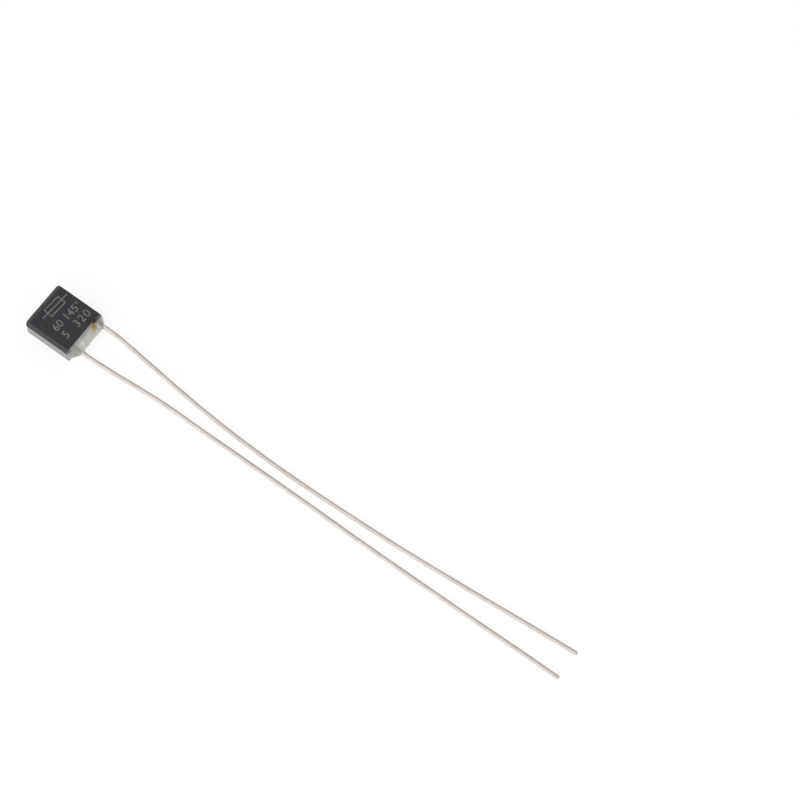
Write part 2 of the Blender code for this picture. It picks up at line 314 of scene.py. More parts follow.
# %% Round the uprights and mark the parting line
case = add_box("case_shell", case_low, case_high)
at_closed_end = choose(case, "EDGE", lambda edge: runs_along(edge, 2) and edge.verts[0].co.y > 0)
bpy.ops.mesh.bevel(offset=CORNER_RADIUS, segments=CORNER_SEGMENTS, affect="EDGES")
for height in (-FLASH_HALF_WIDTH, 0.0, FLASH_HALF_WIDTH):
    bpy.ops.mesh.select_all(action="SELECT")
    place = (0, 0, PARTING_HEIGHT + height)
    bpy.ops.mesh.bisect(plane_co=place, plane_no=UP, threshold=ON_PLANE)
print("rounded uprights at the closed end:", at_closed_end)

# %% Lean the walls in and leave a fine flash line
def lean_ring(height, lean):
    """Moves the ring of vertices at a height inwards on three sides. The mouth stays in place."""
    choose(case, "VERT", lambda vert: abs(vert.co.z - height) < ON_PLANE)
    bpy.ops.transform.resize(
        value=(1 - lean / half_width, 1 - lean / case_length, 1),
        center_override=(0, mouth_y, height),
    )


lean_ring(0.0, BACK_LEAN)
lean_ring(thickness, FRONT_LEAN)
lean_ring(PARTING_HEIGHT - FLASH_HALF_WIDTH, FLASH_HEIGHT)
lean_ring(PARTING_HEIGHT + FLASH_HALF_WIDTH, FLASH_HEIGHT)

# %% Round the edges of both broad faces
def on_rim_of_face(height):
    """True for the edges round a broad face, apart from its edge on the mouth."""

    def wanted(edge):
        level = all(abs(vert.co.z - height) < ON_PLANE for vert in edge.verts)
        on_mouth = all(vert.co.y < mouth_y + ON_PLANE for vert in edge.verts)
        return level and not on_mouth

    return wanted


choose(case, "EDGE", on_rim_of_face(thickness))
bpy.ops.mesh.bevel(offset=FRONT_EDGE_RADIUS, segments=EDGE_SEGMENTS, affect="EDGES")
choose(case, "EDGE", on_rim_of_face(0.0))
bpy.ops.mesh.bevel(offset=BACK_EDGE_RADIUS, segments=EDGE_SEGMENTS, affect="EDGES")
leave_edit_mode()
widest = [vert.co.z / MM for vert in case.data.vertices if vert.co.x > half_width - ON_PLANE]
print("widest at a height in mm of:", sorted({round(height, 2) for height in widest}))

# %% Hollow the cup
cavity = add_box(
    "cavity",
    Vector((-half_width + WALL, mouth_y - case_length, WALL)),
    Vector((half_width - WALL, case_high.y - END_WALL, thickness - WALL)),
)
choose(cavity, "EDGE", lambda edge: True)
bpy.ops.mesh.bevel(offset=CAVITY_RADIUS, segments=CAVITY_SEGMENTS, affect="EDGES")
leave_edit_mode()
hollow = case.modifiers.new("hollow", "BOOLEAN")
hollow.operation = "DIFFERENCE"
hollow.solver = "EXACT"
hollow.object = cavity
apply_modifier(case, hollow)
bpy.data.objects.remove(cavity, do_unlink=True)
keep_flats_flat(case, CASE_SMOOTH_ANGLE)
print(count(case))

# %% [markdown]
# ## Two finishes on one moulding
#
# The upper half of the mould was eroded to a matte grain. The lower half was left smooth, so the
# wall below the parting line mirrors the white table at a shallow angle and looks pale grey from
# above, although it is the same black plastic. Two materials that differ only in gloss and grain
# tell that better than a painted stripe, because the paleness goes away when the view changes.
# A painted highlight makes the front face's rounded edge a little greyer on the left, the side of
# the lamp, and at the closed end.

# %% Make the black plastic
CHARCOAL = (0.034, 0.033, 0.039)
WORN_CHARCOAL = (0.046, 0.045, 0.051)
# The grey of a painted highlight along the front face's left edge and its closed end
PAINTED_HIGHLIGHT_CHARCOAL = (0.109, 0.107, 0.116)
LEFT_BAND = (0.34, 0.20)
CLOSED_END_BAND = (0.80, 0.10)
HEIGHT_BAND = (0.16, 0.04)
GRAIN_SIZE = 0.05
MOTTLE_SIZE = 0.8
FLOW_SIZE = 1.1
FLOW_STRETCH = (1.0, 3.0, 1.0)
FLOW_DEPTH = 0.012


def near_painted_highlight_edges(tree):
    """1 along the front face's left edge and its closed end, 0 further in and on the walls.

    A band holds how far from its edge, in millimetres, the painted highlight is gone and where it
    is full.
    """
    split = add_node(tree, "ShaderNodeSeparateXYZ")
    tree.links.new(in_millimetres(tree), split.inputs["Vector"])
    left = [-half_width / MM + reach for reach in LEFT_BAND]
    closed_end = [case_high.y / MM - reach for reach in CLOSED_END_BAND]
    high = [thickness / MM - reach for reach in HEIGHT_BAND]
    shares = {
        axis: remap(tree, split.outputs[axis], *values, smooth=True)
        for axis, values in (
            ("X", (1.0, 0.0, left[1], left[0])),
            ("Y", (0.0, 1.0, *closed_end)),
            ("Z", (0.0, 1.0, *high)),
        )
    }
    either = calculate(tree, "MAXIMUM", shares["X"], shares["Y"])
    return calculate(tree, "MULTIPLY", either, shares["Z"])


def black_plastic(name, roughness, spread, grain_depth):
    material, tree, shader = new_material(name, CHARCOAL, roughness)
    place = in_millimetres(tree)
    grain = noise(tree, place, GRAIN_SIZE, detail=3.0)
    mottle = noise(tree, place, MOTTLE_SIZE)
    flow = noise(tree, in_millimetres(tree, stretch=FLOW_STRETCH), FLOW_SIZE)
    color = mix_colors(tree, remap(tree, mottle, 0.0, 1.0), CHARCOAL, WORN_CHARCOAL)
    # Painted highlight: a lighter grey along the front face's left edge and its closed end
    painted_edge_highlight = calculate(tree, "MULTIPLY", near_painted_highlight_edges(tree), remap(tree, grain, 0.6, 1.0))
    color = mix_colors(tree, painted_edge_highlight, color, PAINTED_HIGHLIGHT_CHARCOAL)
    tree.links.new(color, shader.inputs["Base Color"])
    gloss = remap(tree, grain, roughness - spread, roughness + spread)
    tree.links.new(gloss, shader.inputs["Roughness"])
    raise_surface(tree, shader, [(flow, FLOW_DEPTH), (grain, grain_depth)])
    return material, shader


matte_plastic, shader = black_plastic(
    "matte_black_plastic", roughness=0.52, spread=0.08, grain_depth=0.006
)
shader.inputs["Specular IOR Level"].default_value = 0.3
smooth_plastic, shader = black_plastic(
    "smooth_black_plastic", roughness=0.18, spread=0.05, grain_depth=0.0012
)
shader.inputs["IOR"].default_value = 1.56
shader.inputs["Coat Weight"].default_value = 0.78
shader.inputs["Coat Roughness"].default_value = 0.16
shader.inputs["Coat IOR"].default_value = 1.50

cover_with(case, matte_plastic, smooth_plastic)
for face in case.data.polygons:
    face.material_index = int(face.center.z < PARTING_HEIGHT)
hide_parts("case")
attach(case, "root")

# %% [markdown]
# ## The marking
#
# Real fuses carry three rows of thin marking burnt in by a laser, a little askew and off centre.
# Here the rows hold nothing that belongs to a maker: the circuit symbol of a fuse, which is a
# rectangle with a line through it, and plain numbers. Each mark is a very thin solid that lies on
# the face, so that its outline stays crisp at any distance. Painting it in the plastic's material
# would also work, but an outline drawn by mathematics is harder to read than a font.

# %% Lay out the marking
MARK_CENTRE_X = 0.46 * MM
MARK_TILT = -4.0
MARK_HEIGHT = 0.004 * MM
MARK_SINK = 0.002 * MM
LINE_WIDTH = 0.12 * MM
SYMBOL_ROW_Y = 1.55 * MM
SYMBOL_LENGTH = 2.40 * MM
SYMBOL_DEPTH = 1.25 * MM
SYMBOL_TAIL = 0.80 * MM
NUMBER_ROWS = (
    ("60 145°", -0.34 * MM, 1.38 * MM, 1.00),
    ("5  320", -1.80 * MM, 1.42 * MM, 1.16),
)


def lay_on_face(item, row_y):
    """Lays the underside of a mark just below the front face, in its row, turned a little."""
    tilt = math.radians(MARK_TILT)
    underside = min(vert.co.z for vert in item.data.vertices)
    item.location = (
        MARK_CENTRE_X - row_y * math.sin(tilt),
        row_y * math.cos(tilt),
        thickness - MARK_SINK - underside,
    )
    item.rotation_euler.z = tilt
    make_active(item)
    bpy.ops.object.transform_apply(location=True, rotation=True, scale=True)


# %% Draw the circuit symbol of a fuse
def add_bar(name, low_x, high_x, low_y, high_y):
    return add_box(name, Vector((low_x, low_y, 0)), Vector((high_x, high_y, MARK_HEIGHT)))


symbol = add_bar(
    "fuse_symbol", -SYMBOL_LENGTH / 2, SYMBOL_LENGTH / 2, -SYMBOL_DEPTH / 2, SYMBOL_DEPTH / 2
)
window = add_box(
    "window",
    Vector((-SYMBOL_LENGTH / 2 + LINE_WIDTH, -SYMBOL_DEPTH / 2 + LINE_WIDTH, -MM)),
    Vector((SYMBOL_LENGTH / 2 - LINE_WIDTH, SYMBOL_DEPTH / 2 - LINE_WIDTH, MM)),
)
reach = SYMBOL_LENGTH / 2 + SYMBOL_TAIL
through_line = add_bar("through_line", -reach, reach, -LINE_WIDTH / 2, LINE_WIDTH / 2)
for operation, other in (("DIFFERENCE", window), ("UNION", through_line)):
    step = symbol.modifiers.new(operation.lower(), "BOOLEAN")
    step.operation = operation
    step.solver = "EXACT"
    step.object = other
    apply_modifier(symbol, step)
    bpy.data.objects.remove(other, do_unlink=True)
lay_on_face(symbol, SYMBOL_ROW_Y)
print(count(symbol))

# %% Set the numbers
def add_number_row(name, text, row_y, size, letter_gap):
    deselect_all()
    bpy.ops.object.text_add(location=(0, 0, 0))
    item = bpy.context.object
    item.name = name
    item.data.body = text
    item.data.size = size
    item.data.align_x = "CENTER"
    item.data.align_y = "CENTER"
    item.data.space_character = letter_gap
    item.data.extrude = MARK_HEIGHT / 2
    bpy.ops.object.convert(target="MESH")
    choose(item, "VERT", lambda vert: True)
    bpy.ops.mesh.remove_doubles(threshold=SAME_PLACE)
    bpy.ops.mesh.normals_make_consistent(inside=False)
    leave_edit_mode()
    lay_on_face(item, row_y)
    print(count(item))
    return item


marks = [symbol]
for index, (text, row_y, size, letter_gap) in enumerate(NUMBER_ROWS):
    marks.append(add_number_row(f"number_row_{index + 1}", text, row_y, size, letter_gap))

# %% Burn the marking in
MARK_GREY = (0.270, 0.262, 0.272)
FAINT_MARK_GREY = (0.150, 0.146, 0.152)
MARK_ROUGHNESS = 0.55
FAINT_MARK_ROUGHNESS = 0.70
FAINT_PATCH_SIZE = 0.16
BURN_SIZE = 0.04
BURN_DEPTH = 0.004

laser_mark, tree, shader = new_material("laser_mark", MARK_GREY, MARK_ROUGHNESS)
place = in_millimetres(tree)
strength = remap(tree, noise(tree, place, FAINT_PATCH_SIZE, detail=3.0), 0.0, 1.0)
mark_color = mix_colors(tree, strength, FAINT_MARK_GREY, MARK_GREY)
tree.links.new(mark_color, shader.inputs["Base Color"])
mark_gloss = remap(tree, strength, FAINT_MARK_ROUGHNESS, MARK_ROUGHNESS, 0.0, 1.0)
tree.links.new(mark_gloss, shader.inputs["Roughness"])
raise_surface(tree, shader, [(noise(tree, place, BURN_SIZE), BURN_DEPTH)])
for mark in marks:
    cover_with(mark, laser_mark)
    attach(mark, "root")

# %% [markdown]
# ## The resin seal
#
# The resin was poured into the mouth and crept up each wire before it set. Its skin starts at the
# rim, swells out about a millimetre, dips a little between the wires and ends in a short collar on
# each, cut off at a slant. A coarse cage of a few faces describes that well: the faces over the
# wires are extruded into collars, and a subdivision surface rounds the whole. The outline of the
# cage stays where it is, so that the skin keeps to the case's edge. Behind the skin a plug fills
# the mouth.

# %% Name the sizes of the resin
RIM_INSET = 0.012 * MM
RIM_LIFT = 0.004 * MM
EDGE_RISE = 0.09 * MM
LEFT_FLANK_RISE = 0.94 * MM
RIGHT_FLANK_RISE = 0.60 * MM
NEAR_WIRE_RISE = 0.98 * MM
SADDLE_RISE = 0.95 * MM
RIGHT_EDGE_RISE = 0.16 * MM
SADDLE_SHOULDER = 1.20 * MM
COLLAR_BASE = 1.00 * MM
COLLAR_WAIST = 0.74 * MM
COLLAR_WAIST_SHARE = 0.4
COLLAR_WALL = 0.02 * MM
WIRE_RADIUS = 0.265 * MM
LEFT_COLLAR_END = 1.22 * MM
RIGHT_COLLAR_END = 0.92 * MM
LEFT_COLLAR_SLANT = 34.0
RIGHT_COLLAR_SLANT = -40.0
# A square of width 1 becomes a near circle of this diameter when it is subdivided
SUBDIVIDED_SQUARE = 0.93
SKIN_SUBDIVISIONS = 4
SKIN_SMOOTH_ANGLE = 40
PLUG_DEPTH = 1.90 * MM
PLUG_ROOM = 0.02 * MM
END_RING_DEPTH = 0.1 * MM


def inner_end(name):
    """The middle of a lead's inner end, inside the case."""
    mesh = nodes[name].data
    last = max(vert.co.y for vert in mesh.vertices)
    ring = [vert.co for vert in mesh.vertices if vert.co.y > last - END_RING_DEPTH]
    return sum(ring, Vector()) / len(ring)


left_x = inner_end("left_lead").x
right_x = inner_end("right_lead").x
wire_z = inner_end("left_lead").z
print("wires leave at x in mm:", round(left_x / MM, 2), round(right_x / MM, 2))

# %% Shape the cage
def lean_at(height):
    """How far the case's wall stands in from its parting line at a height."""
    if height > PARTING_HEIGHT:
        return FRONT_LEAN * (height - PARTING_HEIGHT) / (thickness - PARTING_HEIGHT)
    return BACK_LEAN * (PARTING_HEIGHT - height) / PARTING_HEIGHT


half_base = COLLAR_BASE / 2
columns = (
    (-half_width, 0.0),
    (left_x - half_base, LEFT_FLANK_RISE),
    (left_x + half_base, NEAR_WIRE_RISE),
    (left_x + SADDLE_SHOULDER, SADDLE_RISE),
    (right_x - SADDLE_SHOULDER, SADDLE_RISE),
    (right_x - half_base, NEAR_WIRE_RISE),
    (right_x + half_base, RIGHT_FLANK_RISE),
    (half_width, RIGHT_EDGE_RISE),
)
rows = (RIM_INSET, wire_z - half_base, wire_z + half_base, thickness - RIM_INSET)

deselect_all()
bpy.ops.mesh.primitive_grid_add(
    x_subdivisions=len(columns) - 1, y_subdivisions=len(rows) - 1, size=1.0
)
seal = bpy.context.object
seal.name = "resin_seal"
for vert in seal.data.vertices:
    column = round((vert.co.x + 0.5) * (len(columns) - 1))
    row = round((vert.co.y + 0.5) * (len(rows) - 1))
    x, rise = columns[column]
    z = rows[row]
    if column in (0, len(columns) - 1):
        x -= math.copysign(lean_at(z) + RIM_INSET, x)
    if row in (0, len(rows) - 1):
        rise = 0.0
    vert.co = (x, mouth_y - EDGE_RISE - rise, z)
print("cage vertices:", len(seal.data.vertices))

# %% Draw a collar out along each wire
tip_width = 2 * (WIRE_RADIUS + COLLAR_WALL) / SUBDIVIDED_SQUARE


def draw_collar(wire_x, flank_rise, collar_end, slant):
    """Extrudes the face over a wire to a waist and then to the wire's own width, cut at a slant."""
    base_rise = (flank_rise + NEAR_WIRE_RISE) / 2
    waist_rise = base_rise + COLLAR_WAIST_SHARE * (collar_end - base_rise)
    wire_place = Vector((wire_x, wire_z))
    choose(
        seal,
        "FACE",
        lambda face: (face.calc_center_median().xz - wire_place).length < half_base / 2,
    )
    width = COLLAR_BASE
    rings = ((COLLAR_WAIST, waist_rise, slant / 2), (tip_width, collar_end, slant))
    for next_width, rise, turn in rings:
        angle = math.radians(turn)
        centre = (wire_x, mouth_y - rise, wire_z)
        change = next_width / width
        bpy.ops.mesh.extrude_region_move()
        # A turned ring has to be wider to reach round the wire
        bpy.ops.transform.resize(
            value=(change / math.cos(angle), 0, change), center_override=centre
        )
        bpy.ops.transform.rotate(value=angle, orient_axis="Z", center_override=centre)
        width = next_width
    shape = bmesh.from_edit_mesh(seal.data)
    crease = shape.edges.layers.float.get("crease_edge")
    if crease is None:
        crease = shape.edges.layers.float.new("crease_edge")
    for edge in shape.edges:
        if edge.select:
            edge[crease] = 1.0
    bmesh.update_edit_mesh(seal.data)


draw_collar(left_x, LEFT_FLANK_RISE, LEFT_COLLAR_END, LEFT_COLLAR_SLANT)
draw_collar(right_x, RIGHT_FLANK_RISE, RIGHT_COLLAR_END, RIGHT_COLLAR_SLANT)
leave_edit_mode()

rounding = seal.modifiers.new("rounding", "SUBSURF")
rounding.levels = SKIN_SUBDIVISIONS
rounding.render_levels = SKIN_SUBDIVISIONS
rounding.boundary_smooth = "PRESERVE_CORNERS"
apply_modifier(seal, rounding)
print(count(seal))

# %% Follow the rounded edges of the case
def keep_within_outline(place):
    """Draws a point near an edge of the case in to the edge's rounding."""
    for radius, level, inward in ((FRONT_EDGE_RADIUS, thickness, -1), (BACK_EDGE_RADIUS, 0.0, 1)):
        centre_x = math.copysign(half_width - lean_at(place.z) - radius, place.x)
        centre = Vector((centre_x, 0, level + inward * radius))
        away = Vector((place.x, 0, place.z)) - centre
        beyond = away.x * place.x > 0 and away.z * inward < 0
        if beyond and away.length > radius - RIM_INSET:
            away.length = radius - RIM_INSET
            place.x, place.z = centre.x + away.x, centre.z + away.z


for vert in seal.data.vertices:
    keep_within_outline(vert.co)

# %% Let the skin wander a little
WAVE_SIZE = 1.3 * MM
WAVE_HEIGHT = 0.07 * MM
WAVE_MARGIN = 0.45 * MM


def room_to_edge(place):
    """How far a point of the skin is from the rim and from the nearest wire's surface."""
    to_side = half_width - abs(place.x)
    to_face = min(place.z, thickness - place.z)
    to_wires = [
        math.hypot(place.x - wire_x, place.z - wire_z) - WIRE_RADIUS for wire_x in (left_x, right_x)
    ]
    return min(to_side, to_face, *to_wires)


skin = seal.vertex_groups.new(name="skin")
for vert in seal.data.vertices:
    share = min(max(room_to_edge(vert.co) / WAVE_MARGIN, 0.0), 1.0)
    skin.add([vert.index], share, "REPLACE")
clouds = bpy.data.textures.new("resin_waves", "CLOUDS")
clouds.noise_scale = WAVE_SIZE
waves = seal.modifiers.new("waves", "DISPLACE")
waves.texture = clouds
waves.vertex_group = skin.name
waves.strength = WAVE_HEIGHT
waves.texture_coords = "LOCAL"
apply_modifier(seal, waves)

# %% Close the skin with a plug behind it
def push_outline_back(to_y, half_x=None, half_z=None):
    """Extrudes the open outline to a plane, and squeezes it to a new half width and height."""
    bpy.ops.mesh.extrude_region_move()
    shape = bmesh.from_edit_mesh(seal.data)
    ring = [vert for vert in shape.verts if vert.select]
    wide = max(abs(vert.co.x) for vert in ring)
    high = max(abs(vert.co.z - wire_z) for vert in ring)
    across = 1 if half_x is None else half_x / wide
    upward = 1 if half_z is None else half_z / high
    bpy.ops.transform.resize(value=(across, 0, upward), center_override=(0, to_y, wire_z))


plug_half_x = half_width - WALL - PLUG_ROOM
plug_half_z = thickness / 2 - WALL - PLUG_ROOM
choose(seal, "EDGE", lambda edge: edge.is_boundary)
push_outline_back(mouth_y - RIM_LIFT)
push_outline_back(mouth_y - RIM_LIFT, plug_half_x, plug_half_z)
push_outline_back(mouth_y + PLUG_DEPTH)
bpy.ops.mesh.edge_face_add()
bpy.ops.mesh.select_all(action="SELECT")
bpy.ops.mesh.normals_make_consistent(inside=False)
leave_edit_mode()
shade_smooth(seal, SKIN_SMOOTH_ANGLE)
print(count(seal))

# %% [markdown]
# ## The look of the resin
#
# Clear resin turns pale and cloudy once it has set with a filler in it. Light goes in a fraction of
# a millimetre and comes out next to where it entered, which is what subsurface scattering does.
# What lies behind the resin is painted into it as shade: it darkens along the rim, where it is thin
# over the black case, and the wires show through as painted grey streaks of shadow. A little
# amber flux has crept out beside the right wire. The rim is darker at both ends, with painted shade
# at the right corner and in a notch, and the left half carries more painted shade and a painted
# highlight. An image would be the other way to draw these, but a few distances do it and stay
# sharp: from the rim, from the wires and from the middle of each stain or patch.

# %% Cloud the resin
RESIN = (0.56, 0.565, 0.525)
CLOUDY_RESIN = (0.74, 0.74, 0.71)
PAINTED_RIM_SHADE = (0.345, 0.345, 0.325)
RESIN_ROUGHNESS = (0.18, 0.30)
CLOUD_SIZE = 0.7
WANDER_SIZE = 0.5
WANDER = 0.08

# Places along the fuse in mm from its mouth, and the share of the second color there
RIM_SHADE_STRETCH = (-0.62, -0.05)
RIM_SHADE_SHARE = 0.85
PALE_END = (-1.05, -0.75)
PALE_END_SHARE = 0.6

resin, tree, shader = new_material("pale_resin", RESIN, RESIN_ROUGHNESS[0])
place = in_millimetres(tree)
cloudiness = remap(tree, noise(tree, place, CLOUD_SIZE, detail=3.0), 0.0, 1.0)
color = mix_colors(tree, cloudiness, RESIN, CLOUDY_RESIN)

from_rim = add_node(tree, "ShaderNodeSeparateXYZ")
tree.links.new(in_millimetres(tree, centre=(0, mouth_y / MM, 0)), from_rim.inputs["Vector"])
wander = remap(tree, noise(tree, place, WANDER_SIZE), -WANDER, WANDER)
wandering = calculate(tree, "ADD", from_rim.outputs["Y"], wander)
# Painted shade: darker along the rim, where the resin is thin over the black case
shaded_rim = remap(tree, wandering, 0.0, RIM_SHADE_SHARE, *RIM_SHADE_STRETCH, smooth=True)
color = mix_colors(tree, shaded_rim, color, PAINTED_RIM_SHADE)
outer_end = remap(tree, wandering, PALE_END_SHARE, 0.0, *PALE_END, smooth=True)
color = mix_colors(tree, outer_end, color, CLOUDY_RESIN)

# %% Let the wires show through
WIRE_SHADOW = (0.27, 0.27, 0.262)
SHADOW_SHARE = 0.85
SHADOW_SHARE_AT_END = 0.35
SHADOW_CORE = 0.08
SHADOW_REACH = 0.44
SHADOW_END = (-1.15, -0.85)
LEFT_SHADOW_LEAN = 0.33
RIGHT_SHADOW_LEAN = 0.22


def distance_beside(tree, wire_x, shadow_lean):
    """Distance in millimetres to one side of a wire, which seems to lean as it is seen deeper."""
    centre = (wire_x / MM, 0, wire_z / MM)
    split = add_node(tree, "ShaderNodeSeparateXYZ")
    tree.links.new(in_millimetres(tree, centre=centre), split.inputs["Vector"])
    lean = calculate(tree, "MULTIPLY", split.outputs["Z"], shadow_lean)
    return calculate(tree, "ABSOLUTE", calculate(tree, "ADD", split.outputs["X"], lean), 0.0)


nearest = calculate(
    tree,
    "MINIMUM",
    distance_beside(tree, left_x, LEFT_SHADOW_LEAN),
    distance_beside(tree, right_x, RIGHT_SHADOW_LEAN),
)
beside = remap(tree, nearest, SHADOW_SHARE, 0.0, SHADOW_CORE, SHADOW_REACH, smooth=True)
along = remap(tree, from_rim.outputs["Y"], SHADOW_SHARE_AT_END, 1.0, *SHADOW_END)
color = mix_colors(tree, calculate(tree, "MULTIPLY", beside, along), color, WIRE_SHADOW)

# %% Add the stains and the painted shade and highlight
# Each patch, a stain or painted shade or highlight, has a middle and a reach in millimetres, a
# color and the share it covers there.
STAINS_AND_PAINTED_LIGHT = (
    # Painted shade over the left flank of the resin
    ((-2.45, -3.65, 2.00), (0.80, 0.75, 1.6), (0.40, 0.40, 0.385), 0.90),
    # Darker at the left end of the rim
    ((-2.85, -3.18, 2.35), (0.50, 0.22, 0.6), (0.10, 0.10, 0.105), 0.80),
    # A painted highlight along the ridge that runs to the left wire
    ((-1.00, -3.90, 2.00), (0.26, 0.55, 0.8), (0.86, 0.86, 0.83), 0.60),
    # A mauve patch beside the right wire
    ((1.78, -4.08, 1.90), (0.50, 0.34, 0.8), (0.66, 0.56, 0.62), 0.60),
    # The pale tail of the amber flux
    ((1.08, -3.78, 2.20), (0.46, 0.44, 0.7), (0.52, 0.47, 0.27), 0.65),
    # Amber flux
    ((1.38, -3.53, 2.35), (0.46, 0.56, 0.6), (0.35, 0.265, 0.085), 1.00),
    # Painted shade at the right corner of the rim
    ((2.60, -3.19, 2.40), (0.75, 0.22, 0.5), (0.07, 0.07, 0.075), 0.90),
    # Painted shade for a small void at the rim, which is not modelled
    ((1.88, -3.18, 2.45), (0.50, 0.26, 0.5), (0.022, 0.017, 0.010), 1.00),
)
PATCH_GRAIN = 0.25
PATCH_RAGGEDNESS = 0.15
PATCH_CORE = 0.35
PATCH_END = 1.15


def stain_or_painted_light_share(tree, centre, reach, strongest):
    """How much a stain or a patch of painted shade or highlight covers, with a ragged edge."""
    away = add_node(tree, "ShaderNodeVectorMath", operation="LENGTH")
    tree.links.new(in_millimetres(tree, stretch=reach, centre=centre), away.inputs[0])
    ragged = remap(tree, noise(tree, place, PATCH_GRAIN), -PATCH_RAGGEDNESS, PATCH_RAGGEDNESS)
    edge = calculate(tree, "ADD", away.outputs["Value"], ragged)
    return remap(tree, edge, strongest, 0.0, PATCH_CORE, PATCH_END, smooth=True)


for centre, reach, patch_color, strongest in STAINS_AND_PAINTED_LIGHT:
    share = stain_or_painted_light_share(tree, centre, reach, strongest)
    color = mix_colors(tree, share, color, patch_color)

# %% Give the resin its depth and gloss
SWELL_SIZE = 0.5
SWELL_DEPTH = 0.012
PORE_SIZE = 0.09
PORE_DEPTH = 0.002

tree.links.new(color, shader.inputs["Base Color"])
gloss = remap(tree, cloudiness, *RESIN_ROUGHNESS, 0.0, 1.0)
tree.links.new(gloss, shader.inputs["Roughness"])
shader.inputs["Subsurface Weight"].default_value = 0.3
shader.inputs["Subsurface Radius"].default_value = (1.0, 0.95, 0.80)
shader.inputs["Subsurface Scale"].default_value = 0.22 * MM
shader.inputs["IOR"].default_value = 1.52
swell = noise(tree, place, SWELL_SIZE)
pores = noise(tree, place, PORE_SIZE)
raise_surface(tree, shader, [(swell, SWELL_DEPTH), (pores, PORE_DEPTH)])

cover_with(seal, resin)
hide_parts("epoxy_seal")
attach(seal, "root")

# %% [markdown]
# ## The two leads
#
# Each lead is soft copper wire, tinned bright, that someone has bent by hand. The solid of a lead
# is a chain of rings. The middle of each ring gives one point of a smooth curve, and a curve with
# a round bevel is a wire. At the far end the wire was nipped off by side cutters, which squeeze
# the end into a blunt chisel.

# %% Find the middle line of a lead
RING_GAP = 0.06 * MM


def middle_line(name):
    """Points along a lead from inside out, with the wire's radius at each.

    Where the wire is straight its rings are incomplete, so only the complete ones are used.
    """
    places = sorted({tuple(vert.co) for vert in nodes[name].data.vertices}, key=lambda co: -co[1])
    rings = [[Vector(places[0])]]
    for place in places[1:]:
        if rings[-1][-1].y - place[1] > RING_GAP:
            rings.append([])
        rings[-1].append(Vector(place))
    complete = max(len(ring) for ring in rings)
    line = []
    for ring in rings:
        if len(ring) == complete:
            middle = sum(ring, Vector()) / len(ring)
            line.append((middle, max((place - middle).length for place in ring)))
    return line


lead_lines = {side: middle_line(f"{side}_lead") for side in ("left", "right")}
for side, line in lead_lines.items():
    length = sum((b[0] - a[0]).length for a, b in zip(line, line[1:]))
    print(side, "lead:", len(line), "rings,", round(length / MM, 1), "mm long")

# %% Draw the wires
WIRE_SIDES_RESOLUTION = 6
STEPS_BETWEEN_RINGS = 4
CHISEL_THICKNESS = 0.55
CHISEL_WIDTH = 1.12
TIP_REACH = 1.2
WIRE_SMOOTH_ANGLE = 50


def draw_wire(name, line):
    deselect_all()
    bpy.ops.curve.primitive_bezier_curve_add(location=(0, 0, 0))
    wire = bpy.context.object
    wire.name = name
    curve = wire.data
    curve.splines.clear()
    spline = curve.splines.new("BEZIER")
    spline.bezier_points.add(len(line) - 1)
    body_radius = line[0][1]
    for point, (middle, radius) in zip(spline.bezier_points, line):
        point.co = middle
        point.radius = radius / body_radius
        point.handle_left_type = "AUTO"
        point.handle_right_type = "AUTO"
    spline.bezier_points[0].handle_right_type = "VECTOR"
    spline.bezier_points[1].handle_left_type = "VECTOR"
    curve.dimensions = "3D"
    curve.bevel_depth = body_radius
    curve.bevel_resolution = WIRE_SIDES_RESOLUTION
    curve.resolution_u = STEPS_BETWEEN_RINGS
    curve.use_fill_caps = True
    make_active(wire)
    bpy.ops.object.convert(target="MESH")
    choose(wire, "VERT", lambda vert: True)
    bpy.ops.mesh.remove_doubles(threshold=SAME_PLACE)
    bpy.ops.mesh.normals_make_consistent(inside=False)
    return wire


def nip_the_end(wire, line):
    """Flattens the last ring, as a pair of side cutters does."""
    tip, radius = line[-1]
    choose(wire, "VERT", lambda vert: (vert.co - tip).length < radius * TIP_REACH)
    bpy.ops.transform.resize(
        value=(CHISEL_WIDTH, 1, CHISEL_THICKNESS), center_override=tip
    )
    leave_edit_mode()
    shade_smooth(wire, WIRE_SMOOTH_ANGLE)
    print(count(wire))


wires = {}
for side, line in lead_lines.items():
    wires[side] = draw_wire(f"{side}_wire", line)
    nip_the_end(wires[side], line)

# %% [markdown]
# ## Tin on copper
#
# Tin is a soft pale metal with a slightly warm white. Drawing the wire through its die left fine
# lines along it, and handling dulled it in patches. Noise that is squeezed along the wire gives
# the lines, and a coarser noise gives the patches. Colour changes little, because in a metal the
# gloss carries the look.

# %% Make the tinned copper
TIN = (0.87, 0.813, 0.778)
DULL_TIN = (0.775, 0.713, 0.675)
TIN_ROUGHNESS = (0.20, 0.32)
LINE_ROUGHNESS = (-0.04, 0.06)
LINE_STRETCH = (1.0, 24.0, 1.0)
LINE_SIZE = 0.06
LINE_DEPTH = 0.003
DULL_PATCH_SIZE = 1.6
WAVE_IN_TIN_SIZE = 0.9
WAVE_IN_TIN_DEPTH = 0.010

